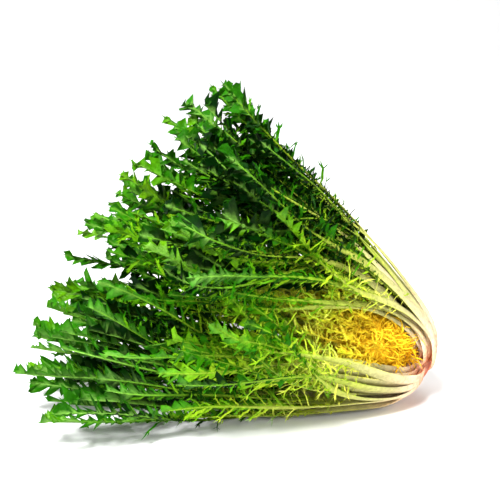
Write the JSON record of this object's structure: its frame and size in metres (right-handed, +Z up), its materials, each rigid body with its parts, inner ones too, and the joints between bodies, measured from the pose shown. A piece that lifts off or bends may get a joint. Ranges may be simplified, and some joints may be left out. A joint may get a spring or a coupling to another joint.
{
  "type": "curly endive head",
  "caption": "Whole curly endive head lying on its side: a cut stump, a frilly yellow heart and long ribbed leaves with deeply cut, toothed blades that fan out.",
  "frame": {"origin": "bottom centre of the whole head's box, on the surface that it lies on", "axes": "+X towards the cut butt, along the head as it lies; +Z up; -Y is the side on which the outer leaves part and show the heart"},
  "size_m": [0.3154, 0.3014, 0.2562],
  "materials": {
    "stump": "moist cut stem, cream with a rusty edge",
    "heart": "satin yellow frilled leaf",
    "inner_spray": "satin yellow-green leaf",
    "inner_leaf": "satin light green leaf with a pale rib",
    "outer_leaf": "satin green leaf with a pale rib"
  },
  "bodies": {
    "root": {"stump": "stump", "heart": "heart", "inner_spray": "inner_spray", "leaf_01": "inner_leaf", "leaf_02": "inner_leaf", "leaf_03": "inner_leaf", "leaf_04": "inner_leaf", "leaf_05": "inner_leaf", "leaf_06": "inner_leaf", "leaf_07": "inner_leaf", "leaf_08": "inner_leaf", "leaf_09": "inner_leaf", "leaf_10": "inner_leaf", "leaf_11": "inner_leaf", "leaf_12": "inner_leaf", "leaf_13": "inner_leaf", "leaf_14": "inner_leaf", "leaf_15": "inner_leaf", "leaf_16": "inner_leaf", "leaf_17": "outer_leaf", "leaf_18": "outer_leaf", "leaf_19": "outer_leaf", "leaf_20": "outer_leaf", "leaf_21": "outer_leaf", "leaf_22": "outer_leaf", "leaf_23": "outer_leaf", "leaf_24": "outer_leaf", "leaf_25": "outer_leaf", "leaf_26": "outer_leaf", "leaf_27": "outer_leaf", "leaf_28": "outer_leaf", "leaf_29": "outer_leaf", "leaf_30": "outer_leaf", "leaf_31": "outer_leaf", "leaf_32": "outer_leaf", "leaf_33": "outer_leaf", "leaf_34": "outer_leaf", "leaf_35": "outer_leaf", "leaf_36": "outer_leaf", "leaf_37": "outer_leaf", "leaf_38": "outer_leaf", "leaf_39": "outer_leaf", "leaf_40": "outer_leaf", "leaf_41": "outer_leaf", "leaf_42": "outer_leaf", "leaf_43": "outer_leaf", "leaf_44": "outer_leaf", "leaf_45": "outer_leaf", "leaf_46": "outer_leaf", "leaf_47": "outer_leaf", "leaf_48": "outer_leaf"}
  },
  "joints": []
}
